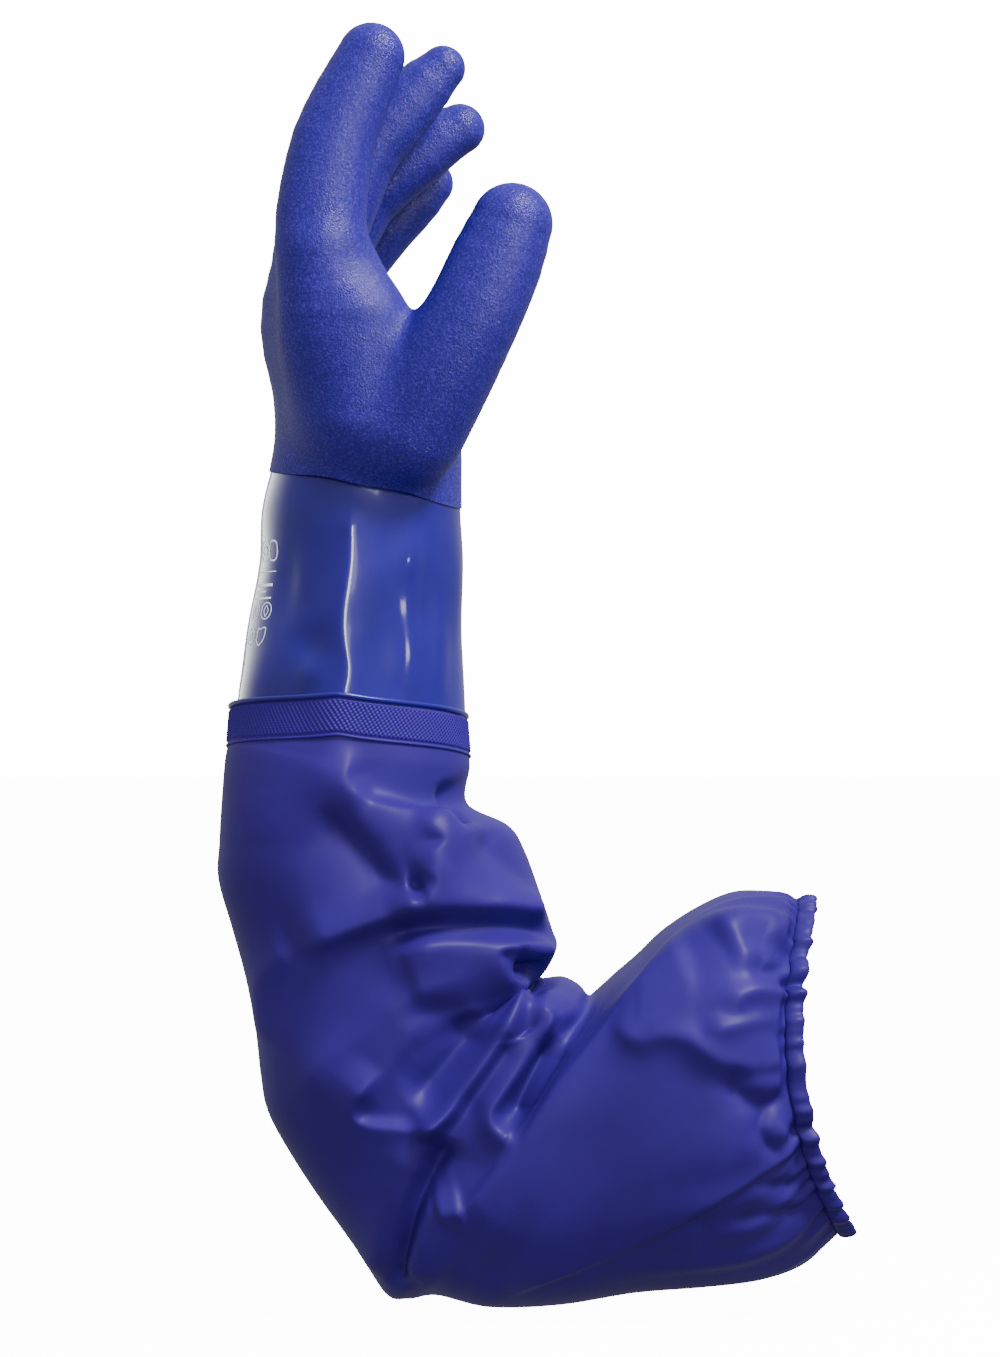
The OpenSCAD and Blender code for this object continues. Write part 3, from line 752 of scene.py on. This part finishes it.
# Folds of the sheet: a line of x, z points, the height of its crest, below zero for a crease,
# and how far it reaches on its left and on its right, seen along the line.
FRONT_FOLDS = [
    # ridge down from the weld, turning under the pocket below it; then pocket and roll
    ([(-207, 137), (-209, 126.5), (-209.7, 118.5), (-203, 111.5), (-193, 107.4), (-182, 103.2),
      (-172, 100), (-161.7, 98.6), (-150, 99)], 8, 5, 22),
    ([(-206, 113), (-196, 112), (-182, 109), (-168, 105), (-156, 102)], -3, 6, 5),
    ([(-170, 119), (-166.5, 111), (-161, 100), (-159, 95)], -6, 9, 2.2),
    # long crease into the knot, the knot's rim and its hollow
    ([(-222, 108), (-209, 97), (-203, 91.3), (-195, 82), (-189, 76), (-182, 70)], -6, 4, 12),
    ([(-182, 102.5), (-174, 96.5), (-169.5, 92), (-174, 87), (-181, 81)], 3.5, 14, 2.5),
    ([(-192, 65.5), (-180, 68.5), (-174, 72.5), (-173, 77.5), (-177, 81), (-184, 80)], 4.5, 2.5, 9),
    ([(-183, 74), (-176.5, 75.5)], -4.5, 4, 4),
    # hollow of the lobe above the crook
    ([(-158, 99), (-148, 90), (-138, 81), (-124, 70)], -4.5, 9, 8),
    # upper roll of the crook, overhanging a crease and a second roll
    ([(-233, 48), (-219, 52.5), (-205, 58), (-192, 62.5), (-178, 65.5), (-162, 66.5), (-146, 66),
      (-131, 63), (-118, 55)], 7.5, 15, 3.2),
    ([(-192, 56), (-177, 58), (-160, 59), (-146, 58.5), (-131, 56), (-120, 50)], -4.5, 3, 5),
    ([(-188, 49), (-175, 50.5), (-161.7, 51), (-141, 49.5), (-128, 47), (-116, 43)], 4.5, 4, 11),
    # rim and hollow of the tongue
    ([(-119, 44.5), (-136, 47.5), (-145, 48), (-148.3, 45.5), (-146, 40.5), (-143, 37), (-137, 35),
      (-130, 29)], 4, 2.2, 7),
    ([(-142, 42), (-133, 41), (-122, 39)], -9, 4.5, 4.5),
    # edge down the forearm and the crest at its left
    ([(-187, 58), (-184.8, 52.4), (-179.5, 40.7), (-176, 31), (-174, 22)], 5.5, 22, 7),
    ([(-228, 51), (-241.5, 38.5), (-245, 27), (-247, 6)], 3, 7, 7),
    ([(-172, 27), (-189, 24.7), (-201.8, 13), (-215.7, 2.4), (-232, -16)], 3.5, 14, 9),
    # pocket at the elbow: left wall and floor, right wall, hollow
    ([(-172, 27), (-186, 8), (-197, -7), (-207, -22)], 3.5, 7, 12),
    ([(-193, 1), (-199.5, -7), (-204, -14), (-203.8, -20), (-199, -22.8), (-189, -24),
      (-177, -24.5), (-167, -20), (-158, -11)], 5, 1.9, 11),
    ([(-180, -28), (-173, -23.7), (-164.6, -15.2), (-151.8, 1.3), (-140, 18), (-131, 31)],
     8.5, 4.8, 3.4),
    ([(-184, -13), (-173, -5), (-163, 7), (-151, 22)], -6.5, 7, 9),
    ([(-139, 14), (-157, -13.6), (-170, -31)], -4, 3.5, 4),
    # fan of pleats down to the elbow's point
    ([(-175, -30), (-178.4, -38), (-184.8, -54), (-191, -75), (-194, -95)], 5.5, 4, 10),
    ([(-164, -27), (-173.6, -43.4), (-179.5, -59.3), (-184.3, -75.3), (-188, -95)], -8, 4, 4),
    ([(-168, -44), (-176.3, -60.4), (-180.5, -75.3), (-187, -96)], 6, 16, 2.6),
    ([(-171, -60), (-158, -56)], 3.5, 7, 4),
    # second pleat with its loop, and the dark behind it
    ([(-136, 20), (-129, 20), (-126, 15.2), (-133.7, 2.4), (-143.3, -10.4), (-148, -16.8),
      (-147.6, -22.1), (-143.3, -27.4), (-136, -33)], 6.5, 2.6, 6),
    ([(-122, 14), (-132.7, -5), (-137, -15.7), (-134, -23)], -8, 4, 5),
    ([(-131, 28), (-122, 23), (-117, 14)], 4, 5, 6),
    # long straight edge of the upper sleeve, over the pleats
    ([(-46, 74), (-60, 58.8), (-69.5, 49.2), (-95.7, 17), (-108, 3), (-120, -11), (-136, -33),
      (-155, -55), (-168, -66)], 7, 24, 4.5),
    # creases that run in from the gathers
    ([(-96, 17), (-92, 14.5), (-86, 11), (-75.5, 13.5), (-66, 12.7), (-55, 5), (-43, 2.5),
      (-29, 3.7), (-14, 5)], 4, 8, 4),
    ([(-55, 50), (-43.3, 60), (-33.8, 61.2), (-29, 57.6), (-26, 48)], 3.5, 6, 4.5),
    ([(-70, 43), (-56, 46), (-44, 50)], -3, 9, 9),
    ([(-50, 21), (-47, 28.5), (-43.3, 31.2), (-36.2, 33), (-20, 32)], 3, 5, 3.2),
    ([(-62, 16), (-53, 18), (-40, 20.5), (-20, 23)], 3.2, 5, 3.4),
    ([(-38.6, 49), (-37.5, 41.5), (-34, 40), (-20, 40)], -3, 2.6, 3),
    ([(-47, 4), (-48.7, -4.7), (-45.7, -9.5), (-36, -13), (-20, -10)], -3.4, 2.2, 3.2),
    ([(-32, -12), (-37.4, -20), (-37.4, -26), (-30, -37)], -3, 2, 2.8),
    ([(-45, -2), (-36, -5), (-16, -4)], 3, 4, 4),
    ([(-33, -21), (-26, -26), (-12, -27)], 2.5, 4, 4),
    ([(-50, -62.5), (-30, -60.5), (-6, -60)], -2.4, 2.4, 2.4),
    ([(-42, -46), (-28, -48), (-8, -46)], -2.4, 2.2, 2.4),
    ([(-66, -60), (-60, -66), (-61, -76)], -1.4, 2, 2),
    # lapped seam along the upper sleeve
    ([(-6, -23), (-16, -28.5), (-31.4, -38.3), (-53, -51.5), (-74, -63.5), (-95.7, -74.3),
      (-119.5, -85), (-130.5, -89.5), (-143, -99)], 2.8, 0.9, 30),
    # slack of the underside
    ([(-152, -78), (-138, -86)], -3, 12, 12),
]
# The back isn't in the photo: rolls that run round from the crook, and a few at the hem
BACK_FOLDS = [
    ([(-240, 110), (-215, 92), (-180, 84), (-140, 90)], 7, 8, 18),
    ([(-252, 66), (-215, 70), (-180, 60), (-124, 60)], 9, 16, 3),
    ([(-240, 52), (-200, 55), (-160, 50), (-122, 50)], -4, 4, 6),
    ([(-246, 16), (-200, 38), (-165, 42), (-122, 40)], 8, 14, 4),
    ([(-236, -24), (-190, 6), (-155, 24), (-122, 32)], 8, 13, 4),
    ([(-212, -62), (-170, -28), (-140, 4), (-116, 26)], 9, 12, 3.6),
    ([(-182, -100), (-150, -60), (-122, -22), (-102, 22)], 10, 9, 4.5),
    ([(-168, -98), (-140, -66), (-110, -26), (-94, 18)], -5, 5, 6),
    ([(-140, -104), (-112, -60), (-96, -16), (-80, 42)], 8, 8, 22),
    ([(-90, -94), (-60, -50), (-40, -26), (-10, -6)], 4.5, 5, 18),
    ([(-66, 38), (-40, 44), (-12, 46)], 4, 8, 4),
    ([(-52, 14), (-36, 18), (-12, 18)], -3, 3, 4),
    ([(-60, -64), (-40, -62), (-8, -58)], -3, 3, 4),
]


def fold_height(x, z, folds):
    """Summed height of folds at points of the XZ plane. Each fades out at its ends."""
    total = np.zeros(len(x))
    p = np.stack([x, z], axis=1)
    for line, height, left, right in folds:
        fine = spline(line, 60)
        last = len(fine) - 2
        reach = 3.5 * min(max(left, right), 30)
        near = np.where(((p > fine.min(0) - reach) & (p < fine.max(0) + reach)).all(1))[0]
        q = p[near]
        # the nearer of the two stretches that meet at the nearest point of the line
        i = ((q[:, None, :] - fine[None]) ** 2).sum(-1).argmin(1)
        best = np.full(len(q), 1e9)
        side, share = np.zeros(len(q)), np.zeros(len(q))
        for shift in (-1, 0):
            k = np.clip(i + shift, 0, last)
            run = fine[k + 1] - fine[k]
            off = q - fine[k]
            t = np.clip((off * run).sum(1) / (run ** 2).sum(1), 0, 1)
            d = np.linalg.norm(off - t[:, None] * run, axis=1)
            closer = d < best
            best = np.where(closer, d, best)
            side = np.where(closer, run[:, 0] * off[:, 1] - run[:, 1] * off[:, 0], side)
            share = np.where(closer, (k + t) / (last + 1), share)
        width = np.where(side > 0, left, right)
        blunt = min(1.4, 0.5 * min(left, right))   # radius of the crest's edge
        profile = np.exp(-((np.sqrt(best ** 2 + blunt ** 2) - blunt) / width) ** 1.25)
        profile *= smooth_step(best, reach, reach * 0.6)
        # wide folds take longer to fade out at their ends
        length = np.linalg.norm(np.diff(fine, axis=0), axis=1).sum()
        ends = min(0.3, max(9, 1.3 * min(max(left, right), 16)) / length)
        fade = smooth_step(share, 0, ends) * smooth_step(share, 1, 1 - ends)
        total[near] += height * profile * fade
    return total


BOXINESS = 0.24    # how far the sleeve's section leaves the ellipse, away from both ends
HEM_SADDLE = 17    # how far the front and back of the hem lie behind its top and bottom


def sleeve_grid(around, rows):
    """The sleeve without folds as a grid of points from band to hem, each row's place among the
    stations, and the angles around."""
    at = np.arange(len(STATIONS), dtype=float)
    end = at[-1]
    s = np.linspace(0, end, rows)
    columns = zip(*[(*outer, *inner, depth) for outer, inner, depth in STATIONS])
    table = np.stack([through(at, column, s) for column in columns], axis=1)
    outer, inner, depth = table[:, :2], table[:, 2:4], table[:, 4]
    angle = np.linspace(0, 2 * math.pi, around, endpoint=False)[None, :]
    middle, half = (outer + inner) / 2, (inner - outer) / 2
    boxy = smooth_step(s, 0.3, 3.0) * smooth_step(s, end + 0.01, end - 3)
    power = (1 - BOXINESS * boxy)[:, None]
    c, sn = [np.sign(v) * np.abs(v) ** power for v in (np.cos(angle), np.sin(angle))]
    under_band = band_swell(angle) * smooth_step(s, 2.2, 0.4)[:, None]
    x = middle[:, :1] + (half[:, :1] + under_band) * c
    x = x - HEM_SADDLE * smooth_step(s, end - 5, end)[:, None] * sn ** 2
    y = (depth[:, None] + under_band) * sn
    z = middle[:, 1:] + half[:, 1:] * c + smooth_step(s, 2.4, 0)[:, None] * LIFT * y
    return np.stack([x, y, z], axis=-1), s, np.broadcast_to(angle, x.shape)


HEM_TILT = 7.2       # of the hem's plane from upright, in degrees
GATHER = 1.25        # height of the puckers at the sleeve's end
CASING_WIDTH, CASING_RISE = 8, 1.9
CASING_TURN = 1.6    # how far the casing rolls round, in half turns


def gathers(angle):
    """Uneven puckers round the gathered end, between about -1 and 1."""
    bent = angle + 0.05 * np.sin(3 * angle + 1) + 0.035 * np.sin(7 * angle + 2)
    lumps = sum(high * np.sin(count * bent + phase)
                for high, count, phase in ((0.75, 33, 0), (0.55, 41, 1.3), (0.35, 58, 0.4)))
    return lumps * (0.75 + 0.25 * np.sin(5 * angle))


def soften(height, rounds):
    """Blur a grid that is closed around and open along its rows."""
    for _ in range(rounds):
        height = (np.roll(height, 1, axis=1) + 2 * height + np.roll(height, -1, axis=1)) / 4
        padded = np.pad(height, ((1, 1), (0, 0)), mode="edge")
        height = (padded[:-2] + 2 * height + padded[2:]) / 4
    return height


def build_sleeve():
    """The sleeve as one sheet with its folds and gathers, and its points."""
    around, rows = ((720, 460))
    p, s, angle = sleeve_grid(around, rows)
    normals = -grid_normals(p)
    x, y, z = (p[..., k].ravel() for k in range(3))
    facing = normals[..., 1].ravel()
    front, back = smooth_step(-facing, 0.02, 0.5), smooth_step(facing, 0.02, 0.5)
    folds = front * fold_height(x, z, FRONT_FOLDS) + back * fold_height(x, z, BACK_FOLDS)
    folds = soften(folds.reshape(p.shape[:2]), 3)
    last = len(STATIONS) - 1
    calm = (smooth_step(s, 0.0, 0.8) * smooth_step(s, last, last - 1.0))[:, None]
    # creases run in from the gathers, finer towards the hem
    near_hem = smooth_step(s, last - 2.2, last)[:, None]
    run_in = smooth_step(s, last - 5, last - 1.2)[:, None] * (1 - near_hem ** 2)
    creases = 1.1 * waves(angle, (17, 23, 29), 5) + 0.9 * waves(angle, (35, 41), 6) * near_hem
    height = folds * calm + GATHER * gathers(angle) * near_hem ** 2 + run_in * creases
    p = p + normals * height[..., None]
    obj = make_mesh("sleeve_sheet", p.reshape(-1, 3), grid_faces(rows, around)[:, ::-1], SHEET,
                    -grid_normals(p).reshape(-1, 3))
    return obj, p


def build_hem(edge):
    """The gathered casing and the elastic in it, from the sleeve's last ring of points."""
    around, sides = len(edge), 30
    angle = np.linspace(0, 2 * math.pi, around, endpoint=False)
    ahead = direction(90 - HEM_TILT)
    out = edge - edge.mean(0)
    out -= np.outer(out @ ahead, ahead)
    out /= np.linalg.norm(out, axis=1, keepdims=True)
    lumps = gathers(angle)
    fine = waves(angle, (71, 83, 96), 7)
    rings = []
    for t in np.linspace(0, 1, sides):
        turn = t * math.pi * CASING_TURN
        puff = math.sin(min(turn, math.pi)) ** 0.6
        rise = np.sin(turn) * CASING_RISE + puff * (0.5 * lumps * (1 - 0.6 * t) + 0.2 * fine)
        reach = (1 - math.cos(turn)) * 0.5 * (CASING_WIDTH + 0.2 * lumps + 0.15 * fine)
        rings.append(edge + out * rise[:, None] + ahead * reach[:, None])
    p = np.array(rings)
    casing = make_mesh("hem_casing_skin", p.reshape(-1, 3), grid_faces(sides, around)[:, ::-1],
                       SHEET, -grid_normals(p).reshape(-1, 3))
    # a flat band in the middle of the casing, which hides it
    near, far, half = 2, 6.5, 0.5
    band = np.array([edge + ahead * reach + out * (rise + 0.3 * lumps[:, None])
                     for reach, rise in ((near, half), (far, half), (far, -half), (near, -half),
                                         (near, half))])
    elastic = make_mesh("hem_elastic_band", band.reshape(-1, 3), grid_faces(5, around), KNIT)
    return casing, elastic


def place_sleeve():
    """Builds the sleeve and its hem, and ties the hem and its elastic to the upper sleeve."""
    sleeve, p = build_sleeve()
    hem, elastic = build_hem(p[-1])
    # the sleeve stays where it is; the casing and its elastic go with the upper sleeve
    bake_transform(sleeve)
    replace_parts(sleeve, "lower_sleeve_tube", "elbow_sleeve", "upper_sleeve_tube",
                "lower_sleeve_lap", "upper_sleeve_lap")
    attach(hem, "upper_sleeve")
    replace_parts(hem, "hem_casing", "hem_weld_line")
    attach(elastic, "upper_sleeve")
    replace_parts(elastic, "hem_elastic", "hem_elastic_join")


# ---- stage

LIGHTS_LOOK_AT = Vector((-0.14, 0, 0.16))


def build_floor():
    """A pale floor that glows for the camera alone, as the photo's paper does."""
    height = CAD_BOX[0][2] - 0.002
    mesh = bpy.data.meshes.new("floor")
    mesh.from_pydata([(x, y, height) for x, y in ((-9, -9), (9, -9), (9, 9), (-9, 9))], [],
                     [(0, 1, 2, 3)])
    floor = bpy.data.objects.new("floor", mesh)
    pale = material("floor_white", (0.93, 0.93, 0.94), 0.7, Emission_Color=(1, 1, 1, 1),
                    Emission_Strength=13.0)
    faint = texture(pale, "ShaderNodeTexNoise", 3, Detail=1.0)
    tint(pale, faint, "Fac", [(0.3, (0.90, 0.90, 0.91)), (0.7, (0.94, 0.94, 0.95))])
    pale.cycles.emission_sampling = "NONE"
    floor.visible_diffuse = floor.visible_glossy = False
    floor.data.materials.append(pale)
    bpy.context.scene.collection.objects.link(floor)


def build_backdrop():
    """A soft sky, brighter above. In its place the camera sees bright paper that lights nothing."""
    world = bpy.data.worlds.new("studio")
    bpy.context.scene.world = world
    world.use_nodes = True
    nodes, links = world.node_tree.nodes, world.node_tree.links
    sky, paper = nodes["Background"], nodes.new("ShaderNodeBackground")
    sky.inputs["Color"].default_value = (0.95, 0.96, 1.0, 1)
    paper.inputs["Color"].default_value = (1, 1, 1, 1)
    paper.inputs["Strength"].default_value = 15.0
    coords = nodes.new("ShaderNodeTexCoord")
    split = nodes.new("ShaderNodeSeparateXYZ")
    strength = nodes.new("ShaderNodeMapRange")
    for socket, value in (("From Min", -0.6), ("From Max", 0.9),
                          ("To Min", 0.33), ("To Max", 0.85)):
        strength.inputs[socket].default_value = value
    seen = nodes.new("ShaderNodeLightPath")
    pick = nodes.new("ShaderNodeMixShader")
    links.new(coords.outputs["Generated"], split.inputs["Vector"])
    links.new(split.outputs["Z"], strength.inputs["Value"])
    links.new(strength.outputs["Result"], sky.inputs["Strength"])
    links.new(seen.outputs["Is Camera Ray"], pick.inputs["Fac"])
    links.new(sky.outputs["Background"], pick.inputs[1])
    links.new(paper.outputs["Background"], pick.inputs[2])
    links.new(pick.outputs["Shader"], nodes["World Output"].inputs["Surface"])


def area(name, at, wide, tall, watts, only=None):
    """A light that looks at the object. With only, just the highlights of those pieces."""
    light = bpy.data.lights.new(name, "AREA")
    light.shape, light.size, light.size_y, light.energy = "RECTANGLE", wide, tall, watts
    obj = bpy.data.objects.new(name, light)
    obj.location = at
    obj.rotation_euler = (LIGHTS_LOOK_AT - Vector(at)).to_track_quat("-Z", "Y").to_euler()
    bpy.context.scene.collection.objects.link(obj)
    if only:
        group = bpy.data.collections.new(name)
        for piece in only:
            group.objects.link(piece)
        obj.light_linking.receiver_collection = group
        obj.visible_diffuse = False
    return obj


def shade_off(light):
    """Fades a light along its width, from full to none."""
    light.use_nodes = True
    nodes, links = light.node_tree.nodes, light.node_tree.links
    across = nodes.new("ShaderNodeNewGeometry")
    split = nodes.new("ShaderNodeSeparateXYZ")
    turned, shade = nodes.new("ShaderNodeMath"), nodes.new("ShaderNodeMath")
    turned.operation, shade.operation = "SUBTRACT", "POWER"
    turned.inputs[0].default_value = 1.0
    shade.inputs[1].default_value = 1.5
    links.new(across.outputs["Parametric"], split.inputs["Vector"])
    links.new(split.outputs["X"], turned.inputs[1])
    links.new(turned.outputs["Value"], shade.inputs[0])
    links.new(shade.outputs["Value"], nodes["Emission"].inputs["Strength"])


def build_lights(hand, cuff, marks):
    area("key_above", (0.75, -0.75, 1.75), 0.5, 0.5, 60)
    area("fill_front", (0.3, -2.2, 0.7), 0.8, 0.8, 10)
    area("strip_right", (0.70, -1.05, 0.40), 0.05, 1.0, 11, hand)
    area("strip_front", (0.12, -1.95, 0.30), 0.26, 1.2, 40, [cuff])
    area("spot_right", (1.0, -0.75, 0.30), 0.20, 0.08, 1.2, [cuff])
    area("print_fill", (-1.2, -0.9, 0.5), 0.5, 0.5, 16, [marks]).visible_diffuse = True
    # a card at the left that shades off towards the front
    shade_off(area("card_left", (-1.3, 0.7, 0.2), 1.5, 1.0, 30, [cuff]).data)


def build_camera():
    """Level and square to the front, with the photo's frame at the object's distance."""
    distance, half_view = 1.7, 0.29176
    camera = bpy.data.cameras.new("camera")
    camera.sensor_fit = "VERTICAL"
    camera.angle = 2 * math.atan(half_view / distance)
    camera.clip_end = 40
    eye = bpy.data.objects.new("camera", camera)
    eye.location = (-0.1445, -distance, 0.1617)
    eye.rotation_euler = (math.pi / 2, 0, 0)
    bpy.context.scene.collection.objects.link(eye)
    bpy.context.scene.camera = eye


HAND = blend_hand(build_hand())
CUFF_SKIN = build_cuff()
build_band()
PRINT = build_print()
place_sleeve()
build_floor()
build_backdrop()
build_lights(HAND, CUFF_SKIN, PRINT)
build_camera()
